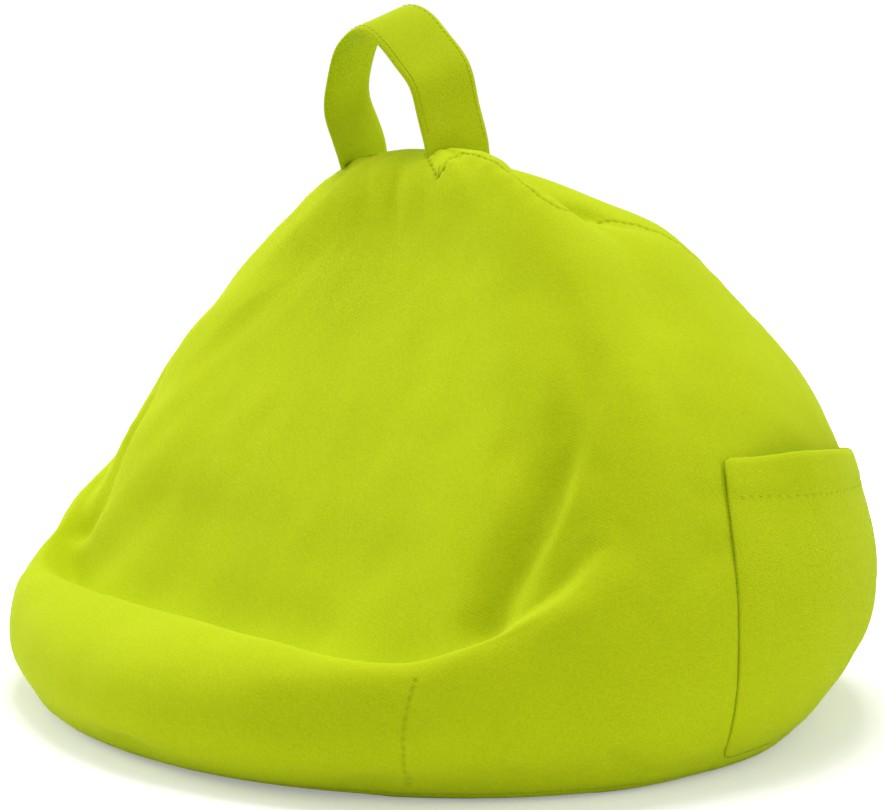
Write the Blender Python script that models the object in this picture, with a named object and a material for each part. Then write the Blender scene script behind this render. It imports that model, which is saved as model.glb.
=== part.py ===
"""Tablet cushion stand: a soft filled bag with a front lip, a sloping rest, a carry loop and a side pocket.

Units are metres, +X is the right of somebody facing the stand, -Y is its front, +Z is up, z = 0 is the floor.
The bag is skinned over upright half sections that fan out round one leaning line through its top.
"""

import math

import bmesh
import bpy
from mathutils import Vector
from mathutils.bvhtree import BVHTree

MM = 0.001

# Main sizes: farthest reach of the bag from its leaning line, its height, and the loop over it
BAG_REACH = 178.0 * MM
BAG_TOP = 214.5 * MM
HANDLE_RISE = 58.5 * MM
HANDLE_SPAN = 75.5 * MM

# Leaning line the sections fan out from
AXIS_BASE_X = 3.0 * MM
AXIS_TOP_X = -6.0 * MM
AXIS_Y = 28.0 * MM

# Half sections of the bag, from the floor edge over the lip, slot and rest to the top
# Azimuth in degrees from the front towards the side: list of (distance from the line, height)
# Drawn for the reach, height, rise and span below, and stretched to the main sizes above
DRAWN_REACH = 178.0
DRAWN_TOP = 214.5
DRAWN_RISE = 58.5
DRAWN_SPAN = 75.5
SECTIONS = {
    0: [(162, 4), (167, 13), (170, 24), (165, 37), (153, 45.5), (138, 48), (123, 42), (112, 33),
        (102, 38.5), (85.5, 66), (60.5, 108), (35.5, 150), (18, 182), (17, 195), (15, 206), (9, 212.5)],
    22: [(163, 4), (169, 13), (172, 24), (168, 37), (160, 45), (148, 48), (134, 42.5), (121, 33),
         (110, 38.5), (92, 66), (65.5, 108), (38.5, 150), (20, 181), (20, 195), (17, 206), (10, 212.5)],
    42: [(164.5, 4), (172, 13), (175.5, 24), (174, 36), (171, 43.5), (165, 47), (157, 43.5), (149, 36),
         (139, 40), (115.5, 66), (82, 108), (48, 150), (26, 181), (25, 195), (22, 206), (12, 213)],
    52: [(166, 4), (173, 14), (177, 26), (175.5, 39), (172, 48), (167, 53), (161, 50.5), (155, 49),
         (148, 57), (139, 68), (100, 108), (58.5, 150), (33, 180), (32, 195), (26, 206), (14, 213)],
    60: [(167, 4), (174, 14), (177.5, 28), (176, 44), (172.5, 55.5), (167, 61.5), (161, 61.5), (156, 64),
         (151, 74), (143, 88), (119, 110), (80, 143), (48, 172), (42, 192), (33, 206), (17, 213.5)],
    70: [(167.5, 4), (174.5, 15), (178, 32), (176.5, 49), (172, 63), (166, 73), (160, 81), (156, 89),
         (152, 98), (145, 110), (134, 126), (112, 145), (82, 166), (60, 187), (43, 203), (22, 212.5)],
    80: [(165, 4), (172.5, 15), (177, 34), (176, 52), (172, 66), (167, 77), (162.5, 87), (158, 96),
         (152.5, 106), (145, 119), (134, 135), (119, 152), (100, 171), (76, 189), (54, 205), (30, 213.5)],
    90: [(163, 4), (170.5, 15), (174.5, 34), (174, 54), (170.5, 68), (165.5, 80), (160.5, 91), (155, 101),
         (149.5, 111), (142, 123), (132, 138), (118, 154), (101, 172), (80, 188), (58, 203), (32, 213)],
    102: [(157, 4), (165.5, 15), (171, 33), (171, 52), (168.5, 67), (164.5, 80), (159.5, 93), (155, 104),
          (149.5, 115), (141, 128), (129.5, 144), (115, 160.5), (99, 177), (76, 188), (52, 196), (27, 206)],
    128: [(146, 4), (156, 13), (166, 30), (170.5, 50), (169.5, 66), (165, 82), (159.5, 96), (154.5, 109),
          (148.5, 121), (138.5, 136), (125.5, 151), (108, 168.5), (92, 184), (69, 194), (46, 202), (23, 209)],
    155: [(139, 4), (149, 13), (155, 30), (156, 50), (153, 68), (147, 84), (139, 99), (130, 113),
          (120, 127), (108, 142), (95, 157), (81, 170), (66, 181), (51, 190), (35, 199), (17, 207.5)],
    180: [(129, 4), (137, 13), (142, 30), (142, 50), (138, 68), (132, 85), (124, 101), (115, 116),
          (105, 131), (93, 146), (80, 160), (67, 173), (54, 183), (41, 192), (28, 200.5), (14, 208.5)],
}
FLOOR_EDGE_INSET = 8.0 * MM
FLOOR_RINGS = (0.45, 0.8)
SPAN_STEPS = (2, 2, 2, 2, 2, 2, 2, 2, 2, 3, 5, 4, 2, 2, 2, 2, 2)

# Azimuth spacing in degrees: fine where the rest folds round into the sides, coarse at the back
AZIMUTH_SPANS = [(0, 36, 6), (36, 50, 5), (50, 78, 17), (78, 148, 22), (148, 180, 4)]

# Folds pressed into the cloth: drawn points, each with its share of the depth, then half width and depth
INNER_REST_FOLD = [(113, 1, 144, 0.2), (120, -13, 128, 0.55), (124, -23, 113, 0.8), (125, -32, 101, 1),
                   (125, -40, 88, 1), (124, -48, 75, 1), (124, -54, 64, 1), (124, -60, 54, 0.9)]
INNER_REST_FOLD_WIDTH = 6.5 * MM
INNER_REST_FOLD_DEPTH = 7.0 * MM
OUTER_REST_FOLD = [(121, -2, 134, 0.1), (128, -12, 118, 0.5), (133, -20, 105, 0.8), (137, -27, 93, 1),
                   (140, -34, 81, 1), (140, -42, 68, 0.9)]
OUTER_REST_FOLD_WIDTH = 8.0 * MM
OUTER_REST_FOLD_DEPTH = 3.0 * MM
RIDGE_FOLD = [(46, 28, 200, 1), (52, 36, 193, 1), (70, 42, 189, 1), (88, 42, 184, 1), (103, 38, 173, 0.8)]
RIDGE_FOLD_WIDTH = 8.0 * MM
RIDGE_FOLD_DEPTH = 4.0 * MM

# Side pocket on the right
POCKET_FRONT_AZIMUTH = 81.8
POCKET_FRONT_TURN = 6.4
POCKET_BACK_AZIMUTH = 145.0
POCKET_TOP_FRONT_Z = 107.0 * MM
POCKET_TOP_BACK_Z = 93.0 * MM
POCKET_BOTTOM_Z = 7.0 * MM
POCKET_CLOTH = 1.4 * MM
POCKET_HEM_EXTRA = 0.8 * MM
POCKET_HEM_HEIGHT = 12.0 * MM
POCKET_MOUTH = 8.0 * MM
POCKET_MOUTH_CENTRE = 0.27
POCKET_COLUMNS = 22
POCKET_ROWS = 12
HEM_STEP = 0.8 * MM

# Carry loop: its two long edges run up from the bag, over and down again, drawn as (x, z)
STRAP_FRONT_Y = 15.0 * MM
STRAP_WIDTH = 28.0 * MM
STRAP_BACK_Y = STRAP_FRONT_Y + STRAP_WIDTH
STRAP_FRONT_EDGE = [(-44.5, 204), (-52, 218), (-57.2, 230), (-54, 244.5), (-48.5, 256), (-34.5, 262),
                    (-21, 254), (-12, 246), (-3.5, 238), (0.7, 227), (5, 216), (11, 204)]
STRAP_BACK_EDGE = [(-47.5, 212), (-54.5, 226), (-61.5, 238), (-60, 249), (-53, 262), (-36.5, 273),
                   (-22.5, 270), (-12.5, 262), (1.5, 248.5), (7, 232), (11, 222), (14, 212)]
STRAP_THICKNESS = 2.6 * MM
STRAP_FINE_STEPS = 12
STRAP_ROWS = 30
STRAP_COLUMNS = 9
STRAP_EDGE_ROUND = 0.35

SEWN_GAP = 0.6 * MM
STRAP_END_GAP = 0.75 * MM
FAR = 0.5
COLLECTION = "tablet_cushion_stand"
LIME = (0.52, 0.66, 0.012, 1.0)
CLOTH_ROUGHNESS = 0.9


def clear_scene():
    """Remove whatever objects the session starts with."""
    for item in list(bpy.data.objects):
        bpy.data.objects.remove(item, do_unlink=True)


def hermite(p0, p1, m0, m1, t):
    """Cubic between two values with given slopes, t from 0 to 1."""
    t2 = t * t
    t3 = t2 * t
    return (2 * t3 - 3 * t2 + 1) * p0 + (t3 - 2 * t2 + t) * m0 + (3 * t2 - 2 * t3) * p1 + (t3 - t2) * m1


def smooth_value(keys, values, at):
    """Smooth curve through the values, without waves between them."""
    last = len(keys) - 1
    i = 0
    while i < last - 1 and at > keys[i + 1]:
        i += 1
    slopes = []
    for k in (i, i + 1):
        if k == 0 or k == last:
            slopes.append(None)
            continue
        before = (values[k] - values[k - 1]) / (keys[k] - keys[k - 1])
        after = (values[k + 1] - values[k]) / (keys[k + 1] - keys[k])
        slopes.append(0.0 if before * after <= 0 else 2 * before * after / (before + after))
    step = keys[i + 1] - keys[i]
    rise = (values[i + 1] - values[i]) / step
    m0 = rise if slopes[0] is None else slopes[0]
    m1 = rise if slopes[1] is None else slopes[1]
    return hermite(values[i], values[i + 1], m0 * step, m1 * step, (at - keys[i]) / step)


def rounded_curve(points, span_steps):
    """Points of a rounded curve through the given points, with its own number of steps for each span."""
    out = []
    for i, steps in enumerate(span_steps):
        p0 = points[max(i - 1, 0)]
        p1 = points[i]
        p2 = points[i + 1]
        p3 = points[min(i + 2, len(points) - 1)]
        for s in range(steps):
            t = s / steps
            out.append(tuple(hermite(b, c, (c - a) / 2, (d - b) / 2, t) for a, b, c, d in zip(p0, p1, p2, p3)))
    out.append(tuple(points[-1]))
    return out


def section_at(azimuth):
    """Section of the bag at an azimuth of 0 to 180 degrees, mirrored beyond both ends."""
    keys = sorted(SECTIONS)
    near = [-keys[1]] + keys + [360 - keys[-2]]
    rows = [SECTIONS[keys[1]]] + [SECTIONS[k] for k in keys] + [SECTIONS[keys[-2]]]
    count = len(rows[0])
    line = []
    for k in range(count):
        r = smooth_value(near, [row[k][0] for row in rows], azimuth)
        z = smooth_value(near, [row[k][1] for row in rows], azimuth)
        line.append((r * BAG_REACH / DRAWN_REACH, z * BAG_TOP / DRAWN_TOP))
    return line


def azimuth_list():
    """Azimuths of the right half, then the mirrored left half, in degrees."""
    half = [first + (last - first) * i / steps for first, last, steps in AZIMUTH_SPANS for i in range(steps)]
    return half + [180.0] + [360.0 - a for a in reversed(half[1:])]


def axis_point(z):
    """Point of the leaning line at a height."""
    share = z / BAG_TOP
    return Vector((AXIS_BASE_X + (AXIS_TOP_X - AXIS_BASE_X) * share, AXIS_Y, z))


def on_azimuth(azimuth, r, z):
    """Point at a distance from the leaning line in the direction of an azimuth."""
    angle = math.radians(azimuth)
    return axis_point(z) + Vector((r * math.sin(angle), -r * math.cos(angle), 0.0))


def bag_rows(azimuth):
    """Points of one full half section, from the floor rings to just below the top."""
    folded = azimuth if azimuth <= 180.0 else 360.0 - azimuth
    section = section_at(folded)
    floor_edge = section[0][0] - FLOOR_EDGE_INSET
    upper = rounded_curve([(floor_edge, 0.0)] + section + [(0.0, BAG_TOP)], SPAN_STEPS)[:-1]
    floor = [(floor_edge * share, 0.0) for share in FLOOR_RINGS]
    return [on_azimuth(azimuth, r, max(z, 0.0)) for r, z in floor + upper]


def fold_depth(point, line, shares, width, depth):
    """How deep a fold along a line pushes the cloth in at a point."""
    best = 0.0
    for a, b, share_a, share_b in zip(line, line[1:], shares, shares[1:]):
        along = b - a
        t = max(0.0, min(1.0, (point - a).dot(along) / along.length_squared))
        distance = (point - (a + along * t)).length
        share = share_a + (share_b - share_a) * t
        best = max(best, share * depth * math.exp(-(distance / width) ** 2))
    return best


def fold_lines():
    """Fold lines on both sides with their depth shares, half widths and depths."""
    found = []
    for points, width, depth in ((INNER_REST_FOLD, INNER_REST_FOLD_WIDTH, INNER_REST_FOLD_DEPTH),
                                 (OUTER_REST_FOLD, OUTER_REST_FOLD_WIDTH, OUTER_REST_FOLD_DEPTH),
                                 (RIDGE_FOLD, RIDGE_FOLD_WIDTH, RIDGE_FOLD_DEPTH)):
        for side in (1, -1):
            line = []
            for x, y, z, _ in points:
                centre = axis_point(z * BAG_TOP / DRAWN_TOP)
                out = x * BAG_REACH / DRAWN_REACH - centre.x
                line.append(Vector((centre.x + side * out, y * BAG_REACH / DRAWN_REACH, centre.z)))
            found.append((line, [point[3] for point in points], width, depth))
    return found


def press_folds(mesh_bm):
    """Push the skin inwards along the fold lines."""
    mesh_bm.normal_update()
    lines = fold_lines()
    moves = []
    for vertex in mesh_bm.verts:
        depth = max(fold_depth(vertex.co, *line) for line in lines)
        moves.append((vertex, vertex.normal * -depth))
    for vertex, move in moves:
        if move.length > 0.02 * MM:
            vertex.co += move


def skin_bag():
    """Closed skin of the bag."""
    bm = bmesh.new()
    rings = [[bm.verts.new(p) for p in bag_rows(a)] for a in azimuth_list()]
    bottom = bm.verts.new(axis_point(0.0))
    top = bm.verts.new(axis_point(BAG_TOP))
    count = len(rings)
    for i in range(count):
        here = rings[i]
        there = rings[(i + 1) % count]
        bm.faces.new((bottom, there[0], here[0]))
        for k in range(len(here) - 1):
            bm.faces.new((here[k], there[k], there[k + 1], here[k + 1]))
        bm.faces.new((here[-1], there[-1], top))
    press_folds(bm)
    return bm


def grid_solid(inner, outer):
    """Closed solid between two grids of points, rows by columns."""
    bm = bmesh.new()
    near = [[bm.verts.new(p) for p in row] for row in inner]
    far = [[bm.verts.new(p) for p in row] for row in outer]
    rows = len(near)
    columns = len(near[0])
    for i in range(rows - 1):
        for k in range(columns - 1):
            bm.faces.new((near[i][k], near[i + 1][k], near[i + 1][k + 1], near[i][k + 1]))
            bm.faces.new((far[i][k], far[i][k + 1], far[i + 1][k + 1], far[i + 1][k]))
    for i in range(rows - 1):
        bm.faces.new((near[i][0], far[i][0], far[i + 1][0], near[i + 1][0]))
        bm.faces.new((near[i][-1], near[i + 1][-1], far[i + 1][-1], far[i][-1]))
    for k in range(columns - 1):
        bm.faces.new((near[0][k], near[0][k + 1], far[0][k + 1], far[0][k]))
        bm.faces.new((near[-1][k], far[-1][k], far[-1][k + 1], near[-1][k + 1]))
    bmesh.ops.recalc_face_normals(bm, faces=bm.faces)
    return bm


def pocket_point(tree, across, up):
    """Point on the bag under the pocket and its outward direction, across and up from 0 to 1."""
    front = POCKET_FRONT_AZIMUTH + POCKET_FRONT_TURN * up ** 2.5
    azimuth = front + (POCKET_BACK_AZIMUTH - front) * across
    top = POCKET_TOP_FRONT_Z + (POCKET_TOP_BACK_Z - POCKET_TOP_FRONT_Z) * across
    z = POCKET_BOTTOM_Z + (top - POCKET_BOTTOM_Z) * up
    inner = axis_point(z)
    outer = on_azimuth(azimuth, FAR, z)
    hit, normal, _, _ = tree.ray_cast(outer, (inner - outer).normalized())
    return hit, normal


def mouth_share(across):
    """How far the pocket stands off along its mouth, 1 at its widest and 0 at its sewn sides."""
    if across < POCKET_MOUTH_CENTRE:
        along = across / POCKET_MOUTH_CENTRE
    else:
        along = (1 - across) / (1 - POCKET_MOUTH_CENTRE)
    return math.sin(math.pi / 2 * along) ** 3


def hem_foot():
    """Height of the foot of the pocket's hem, as a share of the pocket."""
    return 1 - POCKET_HEM_HEIGHT / (POCKET_TOP_FRONT_Z - POCKET_BOTTOM_Z)


def pocket_heights():
    """Rows of the pocket from its foot to its mouth as shares, with a step at the foot of the hem."""
    foot = hem_foot()
    step = HEM_STEP / (POCKET_TOP_FRONT_Z - POCKET_BOTTOM_Z)
    body = [foot * i / POCKET_ROWS for i in range(POCKET_ROWS + 1)]
    return body + [foot + step, (foot + step + 1) / 2, 1.0]


def pocket_panel(tree):
    """Cloth panel of the pocket, sewn down at its sides and foot and standing off at its mouth."""
    inner = []
    outer = []
    for up in pocket_heights():
        near_row = []
        far_row = []
        for k in range(POCKET_COLUMNS + 1):
            across = k / POCKET_COLUMNS
            hit, normal = pocket_point(tree, across, up)
            stand_off = POCKET_MOUTH * mouth_share(across) * up ** 1.3
            hem = POCKET_HEM_EXTRA if up > hem_foot() else 0.0
            near_row.append(hit + normal * (SEWN_GAP + stand_off))
            far_row.append(hit + normal * (SEWN_GAP + stand_off + POCKET_CLOTH + hem))
        inner.append(near_row)
        outer.append(far_row)
    return grid_solid(inner, outer)


def above_bag(tree, point):
    """Height of a point over the bag straight below it."""
    hit, _, _, _ = tree.ray_cast(Vector((point[0], point[1], FAR)), Vector((0, 0, -1)))
    return point[2] - hit.z


def even_points(line, count):
    """Points at equal steps along a polyline."""
    lengths = [0.0]
    for a, b in zip(line, line[1:]):
        lengths.append(lengths[-1] + (b - a).length)
    out = []
    i = 0
    for n in range(count):
        target = lengths[-1] * n / (count - 1)
        while i < len(line) - 2 and lengths[i + 1] < target:
            i += 1
        share = (target - lengths[i]) / max(lengths[i + 1] - lengths[i], 1e-9)
        out.append(line[i].lerp(line[i + 1], min(share, 1.0)))
    return out


def strap_point(x, y, z):
    """Drawn point of a strap edge, stretched to the loop's rise and span."""
    return x * HANDLE_SPAN / DRAWN_SPAN, y, BAG_TOP + (z - DRAWN_TOP) * HANDLE_RISE / DRAWN_RISE


def strap_sheet(tree):
    """Middle surface of the carry loop, rows of points from its front edge to its back edge."""
    steps = [STRAP_FINE_STEPS] * (len(STRAP_FRONT_EDGE) - 1)
    front = rounded_curve([strap_point(x, STRAP_FRONT_Y, z) for x, z in STRAP_FRONT_EDGE], steps)
    back = rounded_curve([strap_point(x, STRAP_BACK_Y, z) for x, z in STRAP_BACK_EDGE], steps)
    columns = []
    for k in range(STRAP_COLUMNS):
        share = k / (STRAP_COLUMNS - 1)
        line = [Vector(a).lerp(Vector(b), share) for a, b in zip(front, back)]
        clear = [point for point in line if above_bag(tree, point) > STRAP_THICKNESS / 2]
        columns.append(even_points(clear, STRAP_ROWS))
    return [[column[i] for column in columns] for i in range(STRAP_ROWS)]


def strap_face_direction(rows, i, k):
    """Direction square to the strap at one of its points."""
    along = rows[min(i + 1, len(rows) - 1)][k] - rows[max(i - 1, 0)][k]
    across = rows[i][-1] - rows[i][0]
    return along.cross(across).normalized()


def drop_to_bag(tree, point):
    """Point straight below or above on the bag, lifted by the small gap under the strap's end."""
    hit, normal, _, _ = tree.ray_cast(Vector((point.x, point.y, FAR)), Vector((0, 0, -1)))
    return Vector((point.x, point.y, hit.z + STRAP_END_GAP / max(normal.z, 0.3)))


def carry_loop(tree):
    """Flat strap loop whose two ends follow the top of the bag."""
    rows = strap_sheet(tree)
    inner = []
    outer = []
    for i, row in enumerate(rows):
        near_row = []
        far_row = []
        for k, point in enumerate(row):
            thin = 1.0 - STRAP_EDGE_ROUND if k in (0, STRAP_COLUMNS - 1) else 1.0
            half = strap_face_direction(rows, i, k) * (STRAP_THICKNESS / 2 * thin)
            near = point - half
            far = point + half
            if i in (0, len(rows) - 1):
                near = drop_to_bag(tree, near)
                far = drop_to_bag(tree, far)
            near_row.append(near)
            far_row.append(far)
        inner.append(near_row)
        outer.append(far_row)
    return grid_solid(inner, outer)


def make_material(name, colour, roughness):
    """Plain cloth material."""
    material = bpy.data.materials.new(name)
    material.use_nodes = True
    shader = material.node_tree.nodes["Principled BSDF"]
    shader.inputs["Base Color"].default_value = colour
    shader.inputs["Roughness"].default_value = roughness
    shader.inputs["Metallic"].default_value = 0.0
    return material


def add_object(bm, name, material, collection):
    """Put a finished mesh into the collection as a named object."""
    mesh = bpy.data.meshes.new(name)
    bm.to_mesh(mesh)
    bm.free()
    mesh.materials.append(material)
    item = bpy.data.objects.new(name, mesh)
    collection.objects.link(item)
    return item


def centre_over_origin(items):
    """Move everything so that the middle of its footprint is over the origin."""
    points = [v.co for item in items for v in item.data.vertices]
    middle_x = (min(p.x for p in points) + max(p.x for p in points)) / 2
    middle_y = (min(p.y for p in points) + max(p.y for p in points)) / 2
    for item in items:
        for vertex in item.data.vertices:
            vertex.co.x -= middle_x
            vertex.co.y -= middle_y


def build():
    """Build the three sewn pieces of the stand."""
    clear_scene()
    collection = bpy.data.collections.new(COLLECTION)
    bpy.context.scene.collection.children.link(collection)
    bag = skin_bag()
    tree = BVHTree.FromBMesh(bag)
    pocket = pocket_panel(tree)
    loop = carry_loop(tree)
    items = [
        add_object(bag, "filled_bag", make_material("bag_cloth", LIME, CLOTH_ROUGHNESS), collection),
        add_object(pocket, "side_pocket", make_material("pocket_cloth", LIME, CLOTH_ROUGHNESS), collection),
        add_object(loop, "carry_handle", make_material("handle_cloth", LIME, CLOTH_ROUGHNESS), collection),
    ]
    centre_over_origin(items)


build()
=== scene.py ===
"""Looks of the tablet cushion stand: filled twill bag, side pocket and carry loop, in a soft white studio."""

import math

import bmesh
import bpy
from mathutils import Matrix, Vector, noise
from mathutils.bvhtree import BVHTree
from mathutils.kdtree import KDTree

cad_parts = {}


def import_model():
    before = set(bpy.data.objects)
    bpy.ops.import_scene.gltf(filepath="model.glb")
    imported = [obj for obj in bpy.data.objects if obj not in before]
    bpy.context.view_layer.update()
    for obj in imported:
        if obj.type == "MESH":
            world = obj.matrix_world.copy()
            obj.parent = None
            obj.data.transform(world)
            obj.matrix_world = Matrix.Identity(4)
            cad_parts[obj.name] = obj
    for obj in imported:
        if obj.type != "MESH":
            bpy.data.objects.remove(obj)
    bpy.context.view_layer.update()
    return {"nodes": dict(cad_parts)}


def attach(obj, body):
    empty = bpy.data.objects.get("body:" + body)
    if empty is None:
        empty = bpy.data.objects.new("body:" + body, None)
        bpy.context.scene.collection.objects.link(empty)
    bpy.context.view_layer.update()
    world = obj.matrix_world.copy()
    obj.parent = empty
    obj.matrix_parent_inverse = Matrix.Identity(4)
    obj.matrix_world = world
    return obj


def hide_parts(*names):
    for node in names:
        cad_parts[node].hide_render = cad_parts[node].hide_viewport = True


MM = 0.001

# Camera at the photo's viewpoint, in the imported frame
CAMERA_PLACE = (0.5920, -0.5230, 0.2080)
CAMERA_YAW = 47.9
CAMERA_PITCH = 6.85
CAMERA_LENS = 81.45
SENSOR_WIDTH = 36.0

# Leaning line the bag is built round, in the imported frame
AXIS_BASE = Vector((0.0007, 0.0128, 0.0))
AXIS_TOP = Vector((-0.0083, 0.0128, 0.2145))
PROBE_START = 0.5

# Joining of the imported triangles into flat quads
WELD_DISTANCE = 0.01 * MM
JOIN_FACE_ANGLE = 0.7
JOIN_SHAPE_ANGLE = 0.9

# Filling pressed against the cloth
SWELL_FRAMES = 14
SWELL_PRESSURE = 3.0
CLOTH_QUALITY = 4
CLOTH_TENSION = 18
CLOTH_COMPRESSION = 10
CLOTH_BENDING = 0.4
SWELL_LIMIT = 3.0 * MM
HELD_LIMIT = 0.5 * MM
SLOT_LOW = Vector((-0.125, -0.112, 0.034))
SLOT_HIGH = Vector((0.125, -0.078, 0.066))
TOP_START = 0.205
HELD_BLEND = 28 * MM
FLOOR_HOLD = 2 * MM

# Lumps of the filling and small ripples of the cloth
LUMP_SIZE = 46 * MM
LUMP_DEPTH = 1.3 * MM
RIPPLE_SIZE = 16 * MM
RIPPLE_DEPTH = 0.4 * MM
GROUND_FADE = 6 * MM
FLOOR_FLAT = 1.5 * MM

# Seams: groove, its thread beat, the puckers beside it, and how the path is sampled
SEAM_HALF_WIDTH = 0.65 * MM
SEAM_DEPTH = 0.9 * MM
PUCKER_REACH = 9 * MM
PUCKER_PITCH = 11 * MM
PUCKER_DEPTH = 0.5 * MM
SEAM_FINE_REACH = 2.5 * MM
SEAM_SAMPLE = 0.6 * MM
SEAM_BEAT = (0.7, 0.3)
CORNER_STEPS = 6
RIDGE_STEPS = 14

# Seam paths: corner and back seams by azimuth from the front and height in metres
# Ridge seam and the strap's foot by places on one side in millimetres
CORNER_SEAM = [(45.0, 0.0435), (44.4, 0.038), (43.8, 0.030), (43.6, 0.020), (43.7, 0.012), (44.0, 0.006)]
CORNER_STRENGTH = 0.5
RIDGE_SEAM = [(18, 6, 213), (46, 8, 204), (51, 7, 201), (58, 7, 198), (64, 8, 194), (67, 12, 191),
              (66, 20, 190), (64, 30, 189), (63, 38, 188), (67, 45, 186), (71, 50, 185), (74, 54, 183)]
RIDGE_STRENGTH = 0.7
BACK_SEAM = [(120, 0.175), (128, 0.160), (137, 0.134), (145, 0.100),
             (149, 0.070), (151, 0.040), (152, 0.020), (152, 0.006)]
BASE_SEAM_HEIGHT = 3.5 * MM
BASE_STRENGTH = 0.5
STRAP_FOOT_SEAM = [(-1, 4, 213), (9, -2, 208), (16, -5, 203), (18, -3, 207), (16, 2, 211), (18, 6, 213)]
STRAP_FOOT_STRENGTH = 0.7

# Tucks pressed into the swollen cloth and the rim's roll outwards: places in millimetres, share of depth
REST_TUCK = [(111, -14, 144, 0.2), (118, -28, 128, 0.6), (122, -38, 113, 0.9), (123, -47, 101, 1.0),
             (123, -56, 88, 1.0), (122, -63, 75, 1.0), (121, -70, 64, 1.0), (121, -75, 54, 0.8)]
REST_TUCK_WIDTH = 7.0 * MM
REST_TUCK_DEPTH = 1.6 * MM
RIDGE_TUCK = [(38, 9, 203, 0.5), (44, 13, 200, 1.0), (50, 21, 193, 1.0), (60, 34, 189, 0.9),
              (70, 41, 186, 0.5), (76, 51, 184, 0.2)]
RIDGE_TUCK_WIDTH = 5.0 * MM
RIDGE_TUCK_DEPTH = 3.0 * MM
RIM_ROLL = [(120, -80, 50, 0.5), (130, -67, 57, 0.8), (147, -60, 67, 1.0), (151, -47, 74, 1.0),
            (150, -35, 84, 1.0), (146, -26, 99, 0.9), (138, -15, 118, 0.5), (128, -8, 136, 0.1)]
RIM_ROLL_WIDTH = 14.0 * MM
RIM_ROLL_DEPTH = -2.4 * MM
TUCK_REACH = 30 * MM

# Stitches
STITCH_LENGTH = 2.2 * MM
STITCH_PITCH = 3.2 * MM
STITCH_RADIUS = 0.22 * MM
STITCH_SIDES = 5
STITCH_WAIST = 0.28
STITCH_LIFT = 0.3

# Carry loop: centre of the loop, its two edges, and how its ends sink into the top seam
LOOP_CENTRE = Vector((-0.0270, 0.0, 0.2280))
LOOP_FRONT_Y = -0.2 * MM
LOOP_BACK_Y = 27.8 * MM
LOOP_FROM = -14
LOOP_TO = 194
LOOP_STEP = 4
LOOP_PROBE = 0.1
STRAP_STITCH_INSET = 2.4 * MM
STRAP_SINK = 4.0 * MM
STRAP_SINK_REACH = 6.0 * MM
STRAP_PROBE = Vector((0, 0, 20 * MM))

# Pocket: azimuths of its sides, heights of its mouth there, its hem's stitches and its sewn edges
POCKET_SIDES = (83.5, 143.5)
POCKET_MOUTH_HEIGHTS = (0.1065, 0.0930)
POCKET_STITCH_DROP = 10.5 * MM
HEM_STEPS = 40
SEWN_PRESS = 0.4 * MM
EDGE_PRESS = 0.5 * MM
EDGE_REACH = 2.5 * MM
POCKET_FOOT = 7 * MM

# Cloth: colours, twill and threads
LIME = (0.570, 0.690, 0.0060)
LIME_SHADE = (0.490, 0.600, 0.0050)
THREAD_LIME = (0.50, 0.62, 0.010)
CLOTH_ROUGHNESS = 0.9
CLOTH_SPECULAR = 0.08
SHEEN_WEIGHT = 0.06
SHEEN_ROUGHNESS = 0.5
SHEEN_TINT = (0.85, 1.0, 0.35, 1.0)
THREAD_ROUGHNESS = 0.8
WEAVE_PITCH = 0.85 * MM
RIB_TONE = (0.955, 1.025)
# Carry loop's rib tone runs lower than the bag's: painted shade, the whole strap darkened to stand in for the
# shade on its legs
STRAP_RIBS_AND_PAINTED_SHADE = (0.87, 0.94)
THREAD_TONE = (0.86, 1.12)
SEAM_TONE = (1.0, 0.5)
TWILL_SLANT = 0.45
WEAVE_BLEND = 4.0
WOBBLE_SCALE = 60.0
WOBBLE_SHIFT = 3 * MM
THREAD_SCALE = 1100.0
BLOTCH_SCALE = 17.0
BUMP_STRENGTH = 0.3
RIB_HEIGHT = 0.16 * MM
THREAD_HEIGHT = 0.3 * MM

# White floor, room and lights: name, place, point lit, size and power
FLOOR_WHITE = 0.9
FLOOR_GLOW_NEAR = 0.30
FLOOR_GLOW_FAR = 0.70
GLOW_START = 0.25
GLOW_FULL = 1.2
ROOM_LIGHT = 0.48
LIGHTS = [("above", (-0.35, 0.35, 2.0), (0, 0, 0.10), 1.0, 29.0),
          ("right", (1.55, 0.95, 0.85), (0, 0, 0.10), 0.8, 6.0),
          ("left", (-1.75, -0.80, 0.65), (0, 0, 0.06), 0.8, 15.0)]


def axis_at(z):
    """Point of the leaning line at a height."""
    return AXIS_BASE.lerp(AXIS_TOP, z / AXIS_TOP.z)


def surface_tree(mesh):
    """Search tree of a mesh's triangles."""
    bm = bmesh.new()
    bm.from_mesh(mesh)
    tree = BVHTree.FromBMesh(bm)
    bm.free()
    return tree


def refined_mesh(node, name, levels):
    """Smooth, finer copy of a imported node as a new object."""
    mesh = node.data.copy()
    bm = bmesh.new()
    bm.from_mesh(mesh)
    bmesh.ops.remove_doubles(bm, verts=bm.verts, dist=WELD_DISTANCE)
    bmesh.ops.join_triangles(bm, faces=bm.faces, angle_face_threshold=JOIN_FACE_ANGLE,
                             angle_shape_threshold=JOIN_SHAPE_ANGLE)
    bm.to_mesh(mesh)
    bm.free()
    item = bpy.data.objects.new(name, mesh)
    bpy.context.scene.collection.objects.link(item)
    subdivide(item, levels)
    return item


def subdivide(item, levels):
    """Round an object's mesh with subdivisions."""
    smooth = item.modifiers.new("smooth", "SUBSURF")
    smooth.levels = levels
    smooth.render_levels = levels
    apply_modifiers(item)


def apply_modifiers(item):
    """Bake an object's modifiers into its mesh."""
    bpy.context.view_layer.update()
    graph = bpy.context.evaluated_depsgraph_get()
    baked = bpy.data.meshes.new_from_object(item.evaluated_get(graph))
    item.modifiers.clear()
    item.data = baked


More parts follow.
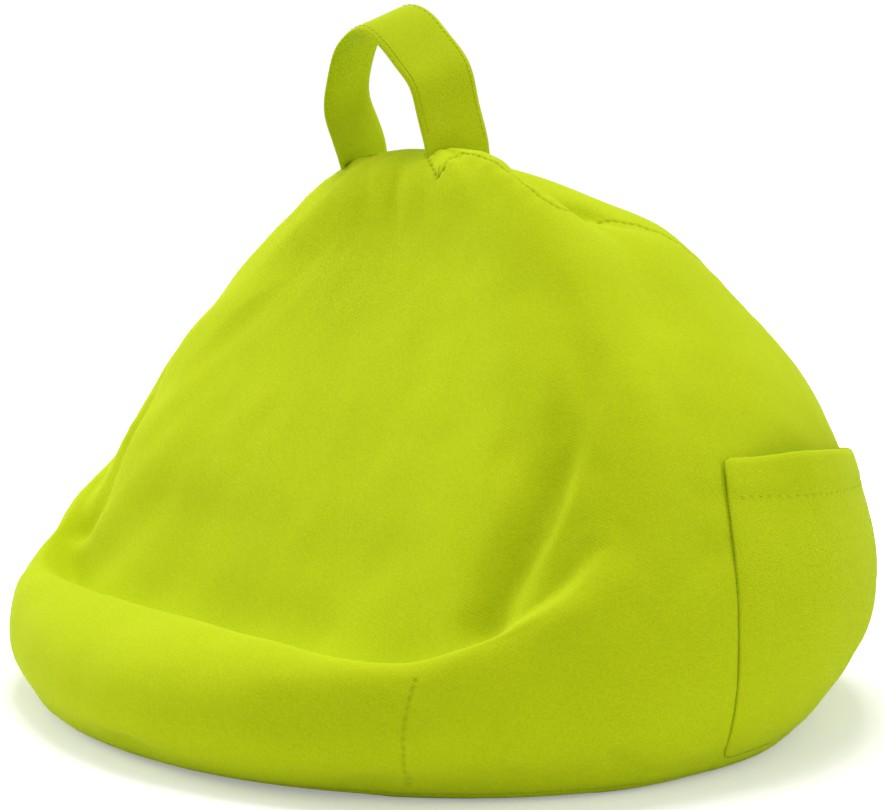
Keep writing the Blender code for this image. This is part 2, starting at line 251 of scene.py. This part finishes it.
def mirrored(points, side):
    """Places in millimetres on one side of the leaning line, or their mirror images, in metres."""
    out = []
    for x, y, z in points:
        centre = axis_at(z * MM).x
        out.append(Vector((centre + side * (x * MM - centre), y * MM, z * MM)))
    return out


def tuck_paths():
    """Tucks and rim rolls on both sides: points, depth shares, width and depth."""
    tucks = []
    for points, width, depth in ((REST_TUCK, REST_TUCK_WIDTH, REST_TUCK_DEPTH),
                                 (RIDGE_TUCK, RIDGE_TUCK_WIDTH, RIDGE_TUCK_DEPTH),
                                 (RIM_ROLL, RIM_ROLL_WIDTH, RIM_ROLL_DEPTH)):
        for side in (1, -1):
            places = mirrored([point[:3] for point in points], side)
            tucks.append((places, [point[3] for point in points], width, depth))
    return tucks


def tuck_depth(place, tucks):
    """How far the tucks press the cloth in at a place, and how far away the nearest one is."""
    total = 0.0
    nearest = PROBE_START
    for points, shares, width, depth in tucks:
        middle = (points[0] + points[-1]) / 2
        if (place - middle).length > (points[-1] - points[0]).length / 2 + TUCK_REACH:
            continue
        best = 0.0
        for a, b, share_a, share_b in zip(points, points[1:], shares, shares[1:]):
            along = b - a
            t = max(0.0, min(1.0, (place - a).dot(along) / along.length_squared))
            distance = (place - (a + along * t)).length
            nearest = min(nearest, distance)
            share = share_a + (share_b - share_a) * t
            best = max(best, share * math.exp(-(distance / width) ** 2))
        total += best * depth
    return total, nearest


def swell_limit(place, tucks):
    """How far the filling may push the cloth: little in the slot, by tucks, at the top and on the floor."""
    beside = Vector([max(SLOT_LOW[i] - place[i], place[i] - SLOT_HIGH[i], 0.0) for i in range(3)]).length
    free = min(beside, tuck_depth(place, tucks)[1], max(TOP_START - place.z, 0.0), HELD_BLEND) / HELD_BLEND
    grounded = min(max((place.z - FLOOR_HOLD) / (2 * GROUND_FADE), 0.0), 1.0)
    return (HELD_LIMIT + (SWELL_LIMIT - HELD_LIMIT) * free * free * (3 - 2 * free)) * grounded


def swell(item):
    """Let the filling press the cloth outwards, no farther than each place allows."""
    tucks = tuck_paths()
    rest = [Vector(v.co) for v in item.data.vertices]
    cloth = item.modifiers.new("cloth", "CLOTH")
    settings = cloth.settings
    settings.quality = CLOTH_QUALITY
    settings.use_pressure = True
    settings.uniform_pressure_force = SWELL_PRESSURE
    settings.effector_weights.gravity = 0.0
    settings.tension_stiffness = CLOTH_TENSION
    settings.compression_stiffness = CLOTH_COMPRESSION
    settings.bending_stiffness = CLOTH_BENDING
    cloth.collision_settings.use_collision = False
    cloth.collision_settings.use_self_collision = False
    cloth.point_cache.frame_start = 1
    cloth.point_cache.frame_end = SWELL_FRAMES
    scene = bpy.context.scene
    for frame_number in range(1, SWELL_FRAMES + 1):
        scene.frame_set(frame_number)
    apply_modifiers(item)
    scene.frame_set(1)
    for vertex, start in zip(item.data.vertices, rest):
        move = vertex.co - start
        limit = swell_limit(start, tucks)
        if move.length > limit:
            move *= limit / move.length
        vertex.co = start + move


def smooth_shading(item):
    """Shade an object smoothly."""
    for face in item.data.polygons:
        face.use_smooth = True


def on_bag(tree, azimuth, z):
    """Point on the bag in the direction of an azimuth at a height, and its normal."""
    angle = math.radians(azimuth)
    inner = axis_at(z)
    outward = Vector((math.sin(angle), -math.cos(angle), 0.0))
    hit, normal, _, _ = tree.ray_cast(inner + outward * PROBE_START, -outward)
    return hit, normal


def rounded_path(points, steps):
    """Smooth path through the given points."""
    out = []
    for i in range(len(points) - 1):
        p0 = points[max(i - 1, 0)]
        p1 = points[i]
        p2 = points[i + 1]
        p3 = points[min(i + 2, len(points) - 1)]
        for s in range(steps):
            t = s / steps
            curve = (p1 * 2 + (p2 - p0) * t + (p0 * 2 - p1 * 5 + p2 * 4 - p3) * t ** 2
                     + (p1 * 3 - p0 - p2 * 3 + p3) * t ** 3)
            out.append(curve / 2)
    out.append(points[-1].copy())
    return out


def seam_lines(tree):
    """Lines of the bag's sewn seams: points on its surface and the seam's strength."""
    lines = []
    for side in (1, -1):
        corner = [on_bag(tree, side * azimuth, z)[0] for azimuth, z in CORNER_SEAM]
        lines.append((rounded_path(corner, CORNER_STEPS), CORNER_STRENGTH))
        ridge = mirrored(RIDGE_SEAM, side)
        ridge += [on_bag(tree, side * azimuth, z)[0] for azimuth, z in BACK_SEAM]
        ridge = [tree.find_nearest(point)[0] for point in rounded_path(ridge, RIDGE_STEPS)]
        lines.append((ridge, RIDGE_STRENGTH))
    foot = [tree.find_nearest(point)[0] for point in mirrored(STRAP_FOOT_SEAM, 1)]
    lines.append((foot, STRAP_FOOT_STRENGTH))
    base = [on_bag(tree, azimuth, BASE_SEAM_HEIGHT)[0] for azimuth in range(0, 361, 3)]
    lines.append((base, BASE_STRENGTH))
    return lines


def line_samples(line, step):
    """Points along a line at equal steps, each with its distance along it."""
    out = []
    travelled = 0.0
    for a, b in zip(line, line[1:]):
        length = (b - a).length
        count = max(int(length / step), 1)
        for i in range(count):
            share = i / count
            out.append((a.lerp(b, share), travelled + length * share))
        travelled += length
    return out


def seam_finder(lines):
    """Search tree over the seams, with each sample's distance along its seam and the seam's strength."""
    samples = []
    for line, strength in lines:
        samples += [(point, travelled, strength) for point, travelled in line_samples(line, SEAM_SAMPLE)]
    finder = KDTree(len(samples))
    for i, (point, _, _) in enumerate(samples):
        finder.insert(point, i)
    finder.balance()
    return finder, [(travelled, strength) for _, travelled, strength in samples]


def refine_near(item, finder, reaches):
    """Split the faces close to the seams above the base, once for each reach."""
    for reach in reaches:
        bm = bmesh.new()
        bm.from_mesh(item.data)
        middles = [(edge, (edge.verts[0].co + edge.verts[1].co) / 2) for edge in bm.edges]
        edges = [edge for edge, middle in middles
                 if middle.z > 2 * GROUND_FADE and finder.find(middle)[2] < reach]
        bmesh.ops.subdivide_edges(bm, edges=edges, cuts=1, use_grid_fill=True, smooth=0.0)
        bm.to_mesh(item.data)
        bm.free()


def work_cloth(item, finder, along):
    """Give the cloth its lumps, ripples, seam grooves and puckers, and note each point's depth in a seam."""
    mesh = item.data
    mesh.update()
    normals = [Vector(v.normal) for v in mesh.vertices]
    tucks = tuck_paths()
    seam_share = []
    for vertex, normal in zip(mesh.vertices, normals):
        place = vertex.co
        lift = LUMP_DEPTH * noise.noise(place / LUMP_SIZE) + RIPPLE_DEPTH * noise.noise(place / RIPPLE_SIZE)
        _, index, distance = finder.find(place)
        travelled, strength = along[index]
        stitched = SEAM_BEAT[0] + SEAM_BEAT[1] * math.cos(2 * math.pi * travelled / STITCH_PITCH)
        groove = strength * stitched * math.exp(-(distance / SEAM_HALF_WIDTH) ** 2)
        drift = 3 * noise.noise(place / LUMP_SIZE)
        wave = 0.5 + 0.5 * math.sin(2 * math.pi * travelled / PUCKER_PITCH + drift)
        reach = strength * math.exp(-(distance / PUCKER_REACH) ** 2)
        lift -= SEAM_DEPTH * groove + PUCKER_DEPTH * reach * wave + tuck_depth(place, tucks)[0]
        grounded = min(max((place.z - FLOOR_FLAT) / GROUND_FADE, 0.0), 1.0)
        vertex.co = place + normal * lift * grounded
        seam_share.append(groove)
    layer = mesh.attributes.new("seam", "FLOAT", "POINT")
    layer.data.foreach_set("value", seam_share)
    mesh.update()


def scaled(nodes, links, source, name, low, high):
    """Map a 0 to 1 value to a range."""
    span = nodes.new("ShaderNodeMapRange")
    span.name = name
    span.inputs["To Min"].default_value = low
    span.inputs["To Max"].default_value = high
    links.new(source, span.inputs["Value"])
    return span.outputs["Result"]


def maths(nodes, links, operation, a, b):
    """One sum of two values."""
    node = nodes.new("ShaderNodeMath")
    node.operation = operation
    for socket, value in zip(node.inputs, (a, b)):
        if isinstance(value, (int, float)):
            socket.default_value = value
        else:
            links.new(value, socket)
    return node.outputs["Value"]


def twill_weave(nodes, links, place, normal):
    """Slanted twill ribs on any side of the cloth: three flat weaves blended by which way the cloth faces."""
    facing = nodes.new("ShaderNodeSeparateXYZ")
    links.new(normal, facing.inputs["Vector"])
    total = None
    weights = None
    for axis, turn in (("X", (0.0, 0.0, 0.0)), ("Y", (0.0, 0.0, 90.0)), ("Z", (0.0, 90.0, 0.0))):
        mapping = nodes.new("ShaderNodeMapping")
        mapping.inputs["Rotation"].default_value = [math.radians(angle) for angle in turn]
        links.new(place, mapping.inputs["Vector"])
        split = nodes.new("ShaderNodeSeparateXYZ")
        links.new(mapping.outputs["Vector"], split.inputs["Vector"])
        across = maths(nodes, links, "MULTIPLY", split.outputs["Y"], TWILL_SLANT)
        slant = maths(nodes, links, "ADD", across, split.outputs["Z"])
        phase = maths(nodes, links, "MULTIPLY", slant, 2 * math.pi / WEAVE_PITCH)
        ribs = maths(nodes, links, "SINE", phase, 0.0)
        turned = maths(nodes, links, "ABSOLUTE", facing.outputs[axis], 0.0)
        strength = maths(nodes, links, "POWER", turned, WEAVE_BLEND)
        part = maths(nodes, links, "MULTIPLY", ribs, strength)
        total = part if total is None else maths(nodes, links, "ADD", total, part)
        weights = strength if weights is None else maths(nodes, links, "ADD", weights, strength)
    return maths(nodes, links, "DIVIDE", total, weights)


def noise_texture(nodes, links, place, size, detail):
    """Cloudy noise of a given size."""
    texture = nodes.new("ShaderNodeTexNoise")
    texture.inputs["Scale"].default_value = size
    texture.inputs["Detail"].default_value = detail
    links.new(place, texture.inputs["Vector"])
    return texture.outputs["Fac"]


def add_bump(nodes, links, height, strength, distance, under=None):
    """Bump from a height value, on top of an earlier one."""
    bump = nodes.new("ShaderNodeBump")
    bump.inputs["Strength"].default_value = strength
    bump.inputs["Distance"].default_value = distance
    links.new(height, bump.inputs["Height"])
    if under is not None:
        links.new(under, bump.inputs["Normal"])
    return bump.outputs["Normal"]


def matt_cloth(shader):
    """Make a surface matt, with a little sheen."""
    shader.inputs["Roughness"].default_value = CLOTH_ROUGHNESS
    shader.inputs["Specular IOR Level"].default_value = CLOTH_SPECULAR
    shader.inputs["Sheen Weight"].default_value = SHEEN_WEIGHT
    shader.inputs["Sheen Roughness"].default_value = SHEEN_ROUGHNESS
    shader.inputs["Sheen Tint"].default_value = SHEEN_TINT


def cloth_material(name, weave_and_painted_shade_tone):
    """Cotton twill: fine slanted weave, soft colour changes, darker seams and a little sheen; a low rib tone
    also darkens the whole piece as painted shade.
    """
    material = bpy.data.materials.new(name)
    material.use_nodes = True
    nodes = material.node_tree.nodes
    links = material.node_tree.links
    shader = nodes["Principled BSDF"]
    matt_cloth(shader)
    place = nodes.new("ShaderNodeTexCoord").outputs["Object"]
    normal = nodes.new("ShaderNodeNewGeometry").outputs["Normal"]
    wobble = noise_texture(nodes, links, place, WOBBLE_SCALE, 1.0)
    shift = nodes.new("ShaderNodeVectorMath")
    shift.operation = "ADD"
    links.new(place, shift.inputs[0])
    links.new(maths(nodes, links, "MULTIPLY", wobble, WOBBLE_SHIFT), shift.inputs[1])
    ribs = twill_weave(nodes, links, shift.outputs["Vector"], normal)
    ribs = maths(nodes, links, "ADD", maths(nodes, links, "MULTIPLY", ribs, 0.5), 0.5)
    threads = noise_texture(nodes, links, place, THREAD_SCALE, 2.0)
    blotch = noise_texture(nodes, links, place, BLOTCH_SCALE, 4.0)
    tone = nodes.new("ShaderNodeMix")
    tone.data_type = "RGBA"
    tone.inputs["A"].default_value = (*LIME_SHADE, 1.0)
    tone.inputs["B"].default_value = (*LIME, 1.0)
    links.new(blotch, tone.inputs["Factor"])
    seam = nodes.new("ShaderNodeAttribute")
    seam.attribute_name = "seam"
    # The rib tone range sets the weave's contrast and, on the carry loop, darkens the whole piece as painted
    # shade
    factor = maths(nodes, links, "MULTIPLY", scaled(nodes, links, ribs, "weave_and_painted_shade_tone", *weave_and_painted_shade_tone),
                   scaled(nodes, links, threads, "thread_tone", *THREAD_TONE))
    seam_tone = scaled(nodes, links, seam.outputs["Fac"], "seam_tone", *SEAM_TONE)
    factor = maths(nodes, links, "MULTIPLY", factor, seam_tone)
    paint = nodes.new("ShaderNodeVectorMath")
    paint.operation = "SCALE"
    links.new(tone.outputs["Result"], paint.inputs["Vector"])
    links.new(factor, paint.inputs["Scale"])
    links.new(paint.outputs["Vector"], shader.inputs["Base Color"])
    woven = add_bump(nodes, links, ribs, BUMP_STRENGTH, RIB_HEIGHT)
    links.new(add_bump(nodes, links, threads, BUMP_STRENGTH, THREAD_HEIGHT, woven), shader.inputs["Normal"])
    return material


def thread_material():
    """Sewing thread a little darker than the cloth."""
    material = bpy.data.materials.new("sewing_thread")
    material.use_nodes = True
    shader = material.node_tree.nodes["Principled BSDF"]
    shader.inputs["Base Color"].default_value = (*THREAD_LIME, 1.0)
    shader.inputs["Roughness"].default_value = THREAD_ROUGHNESS
    shader.inputs["Specular IOR Level"].default_value = CLOTH_SPECULAR
    return material


def dress(item, node, material):
    """Give a soft piece its cloth and its body, and hide the node it stands for."""
    smooth_shading(item)
    item.data.materials.clear()
    item.data.materials.append(material)
    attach(item, "root")
    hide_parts(node)


def add_stitch(bm, middle, along, across, out):
    """One stitch: a short thread with pointed ends, lying on the cloth."""
    rings = []
    for share in (-STITCH_WAIST, STITCH_WAIST):
        centre = middle + along * (share * STITCH_LENGTH)
        ring = []
        for i in range(STITCH_SIDES):
            angle = 2 * math.pi * i / STITCH_SIDES
            spoke = across * math.cos(angle) + out * math.sin(angle)
            ring.append(bm.verts.new(centre + spoke * STITCH_RADIUS))
        rings.append(ring)
    back = bm.verts.new(middle - along * (0.5 * STITCH_LENGTH))
    front = bm.verts.new(middle + along * (0.5 * STITCH_LENGTH))
    for i in range(STITCH_SIDES):
        j = (i + 1) % STITCH_SIDES
        bm.faces.new((back, rings[0][j], rings[0][i]))
        bm.faces.new((rings[0][i], rings[0][j], rings[1][j], rings[1][i]))
        bm.faces.new((rings[1][i], rings[1][j], front))


def sew(name, tree, paths, material):
    """Rows of stitches along paths on a piece's surface."""
    bm = bmesh.new()
    for path in paths:
        samples = line_samples(path, STITCH_PITCH)
        for (here, _), (there, _) in zip(samples, samples[1:]):
            along = (there - here).normalized()
            point, normal, _, _ = tree.find_nearest((here + there) / 2)
            across = along.cross(normal).normalized()
            add_stitch(bm, point + normal * (STITCH_LIFT * STITCH_RADIUS), along, across, normal)
    mesh = bpy.data.meshes.new(name)
    bm.to_mesh(mesh)
    bm.free()
    item = bpy.data.objects.new(name, mesh)
    bpy.context.scene.collection.objects.link(item)
    smooth_shading(item)
    mesh.materials.append(material)
    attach(item, "root")


def build_bag(frame, material):
    """Filled cover of the bag."""
    item = refined_mesh(frame["nodes"]["filled_bag"], "bag_cover", 1)
    swell(item)
    subdivide(item, 1)
    tree = surface_tree(item.data)
    finder, along = seam_finder(seam_lines(tree))
    refine_near(item, finder, (SEAM_FINE_REACH * 2, SEAM_FINE_REACH))
    work_cloth(item, finder, along)
    dress(item, "filled_bag", material)
    return item


def edge_distance(place):
    """How far a place on the pocket's panel is from its nearest sewn edge."""
    outward = place - axis_at(place.z)
    azimuth = math.degrees(math.atan2(outward.x, -outward.y))
    inside = max(min(azimuth - POCKET_SIDES[0], POCKET_SIDES[1] - azimuth), 0.0)
    return min(math.radians(inside) * outward.to_2d().length, max(place.z - POCKET_FOOT, 0.0))


def settle(item, before, after):
    """Keep a sewn-on panel as far off the cloth as it was, less a small press, and sink its sewn edges."""
    for vertex in item.data.vertices:
        spot, normal, _, _ = before.find_nearest(vertex.co)
        height = (vertex.co - spot).dot(normal)
        press = SEWN_PRESS + EDGE_PRESS * math.exp(-(edge_distance(vertex.co) / EDGE_REACH) ** 2)
        spot, normal, _, _ = after.find_nearest(vertex.co)
        vertex.co += normal * (height - press - (vertex.co - spot).dot(normal))


def build_pocket(frame, bag, material, thread):
    """Side pocket panel with its stitched hem."""
    item = refined_mesh(frame["nodes"]["side_pocket"], "pocket_panel", 1)
    settle(item, surface_tree(frame["nodes"]["filled_bag"].data), surface_tree(bag.data))
    dress(item, "side_pocket", material)
    tree = surface_tree(item.data)
    hem = []
    for i in range(HEM_STEPS + 1):
        share = i / HEM_STEPS
        azimuth = POCKET_SIDES[0] + (POCKET_SIDES[1] - POCKET_SIDES[0]) * share
        mouth = POCKET_MOUTH_HEIGHTS[0] + (POCKET_MOUTH_HEIGHTS[1] - POCKET_MOUTH_HEIGHTS[0]) * share
        hem.append(on_bag(tree, azimuth, mouth - POCKET_STITCH_DROP)[0])
    sew("pocket_stitches", tree, [[point for point in hem if point]], thread)


def strap_row(tree, y):
    """Line round the outer face of the carry loop at a distance from its front."""
    row = []
    for angle in range(LOOP_FROM, LOOP_TO + 1, LOOP_STEP):
        turn = math.radians(angle)
        outward = Vector((math.cos(turn), 0.0, math.sin(turn)))
        centre = Vector((LOOP_CENTRE.x, y, LOOP_CENTRE.z))
        hit, _, _, _ = tree.ray_cast(centre + outward * LOOP_PROBE, -outward)
        if hit is not None and (hit - centre).dot(outward) > 0:
            row.append(hit)
    return row


def build_handle(frame, bag, material, thread):
    """Folded strap of the carry loop, its ends sunk into the top seam, with stitches along each edge."""
    item = refined_mesh(frame["nodes"]["carry_handle"], "handle_strap", 1)
    under = surface_tree(bag.data)
    for vertex in item.data.vertices:
        hit, _, _, _ = under.ray_cast(vertex.co + STRAP_PROBE, Vector((0, 0, -1)))
        if hit is None:
            continue
        height = vertex.co.z - hit.z
        if height < STRAP_SINK_REACH:
            vertex.co.z -= STRAP_SINK * (1 - max(height, 0.0) / STRAP_SINK_REACH)
    dress(item, "carry_handle", material)
    tree = surface_tree(item.data)
    rows = [strap_row(tree, LOOP_FRONT_Y + STRAP_STITCH_INSET),
            strap_row(tree, LOOP_BACK_Y - STRAP_STITCH_INSET)]
    sew("strap_stitches", tree, rows, thread)


def studio_floor():
    """White floor under the stand that keeps only its soft shadow."""
    bpy.ops.mesh.primitive_plane_add(size=40.0, location=(0, 0, 0))
    floor = bpy.context.object
    floor.name = "studio_floor"
    material = bpy.data.materials.new("studio_floor")
    material.use_nodes = True
    nodes = material.node_tree.nodes
    links = material.node_tree.links
    shader = nodes["Principled BSDF"]
    shader.inputs["Base Color"].default_value = (FLOOR_WHITE, FLOOR_WHITE, FLOOR_WHITE, 1.0)
    shader.inputs["Roughness"].default_value = 1.0
    shader.inputs["Specular IOR Level"].default_value = 0.0
    shader.inputs["Emission Color"].default_value = (1.0, 1.0, 1.0, 1.0)
    path = nodes.new("ShaderNodeLightPath")
    seen = maths(nodes, links, "MAXIMUM", path.outputs["Is Camera Ray"], path.outputs["Is Glossy Ray"])
    far = nodes.new("ShaderNodeVectorMath")
    far.operation = "LENGTH"
    links.new(nodes.new("ShaderNodeTexCoord").outputs["Object"], far.inputs[0])
    glow = nodes.new("ShaderNodeMapRange")
    glow.inputs["From Min"].default_value = GLOW_START
    glow.inputs["From Max"].default_value = GLOW_FULL
    glow.inputs["To Min"].default_value = FLOOR_GLOW_NEAR
    glow.inputs["To Max"].default_value = FLOOR_GLOW_FAR
    links.new(far.outputs["Value"], glow.inputs["Value"])
    shine = maths(nodes, links, "MULTIPLY", seen, glow.outputs["Result"])
    links.new(shine, shader.inputs["Emission Strength"])
    floor.data.materials.append(material)


def area_light(name, place, target, size, power):
    """Soft square light aimed at a point."""
    data = bpy.data.lights.new(name, "AREA")
    data.size = size
    data.energy = power
    item = bpy.data.objects.new(name, data)
    item.location = place
    item.rotation_euler = (Vector(target) - Vector(place)).to_track_quat("-Z", "Y").to_euler()
    bpy.context.scene.collection.objects.link(item)


def studio_light():
    """Even white room, with soft lights from above, from the right behind and from the left in front."""
    world = bpy.data.worlds.new("studio")
    bpy.context.scene.world = world
    world.use_nodes = True
    nodes = world.node_tree.nodes
    links = world.node_tree.links
    seen = nodes["Background"]
    seen.inputs["Color"].default_value = (1.0, 1.0, 1.0, 1.0)
    seen.inputs["Strength"].default_value = 1.0
    room = nodes.new("ShaderNodeBackground")
    room.inputs["Color"].default_value = (1.0, 1.0, 1.0, 1.0)
    room.inputs["Strength"].default_value = ROOM_LIGHT
    path = nodes.new("ShaderNodeLightPath")
    mix = nodes.new("ShaderNodeMixShader")
    plain = maths(nodes, links, "MAXIMUM", path.outputs["Is Camera Ray"], path.outputs["Is Glossy Ray"])
    links.new(plain, mix.inputs["Fac"])
    links.new(room.outputs["Background"], mix.inputs[1])
    links.new(seen.outputs["Background"], mix.inputs[2])
    links.new(mix.outputs["Shader"], nodes["World Output"].inputs["Surface"])
    for name, place, target, size, power in LIGHTS:
        area_light(name, place, target, size, power)


def photo_camera():
    """Camera at the photo's viewpoint."""
    yaw = math.radians(CAMERA_YAW)
    pitch = math.radians(CAMERA_PITCH)
    look = Vector((-math.sin(yaw) * math.cos(pitch), math.cos(yaw) * math.cos(pitch), -math.sin(pitch)))
    data = bpy.data.cameras.new("photo_camera")
    data.lens = CAMERA_LENS
    data.sensor_width = SENSOR_WIDTH
    item = bpy.data.objects.new("photo_camera", data)
    item.location = CAMERA_PLACE
    item.rotation_euler = look.to_track_quat("-Z", "Y").to_euler()
    bpy.context.scene.collection.objects.link(item)
    bpy.context.scene.camera = item


def main():
    """Build the whole scene."""
    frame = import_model()
    bpy.context.scene.view_settings.view_transform = "Standard"
    thread = thread_material()
    bag = build_bag(frame, cloth_material("bag_twill", RIB_TONE))
    build_pocket(frame, bag, cloth_material("pocket_twill", RIB_TONE), thread)
    # The carry loop's twill is a darker copy of the bag's: painted shade
    build_handle(frame, bag, cloth_material("handle_twill_painted_shade", STRAP_RIBS_AND_PAINTED_SHADE), thread)
    studio_floor()
    studio_light()
    photo_camera()


main()
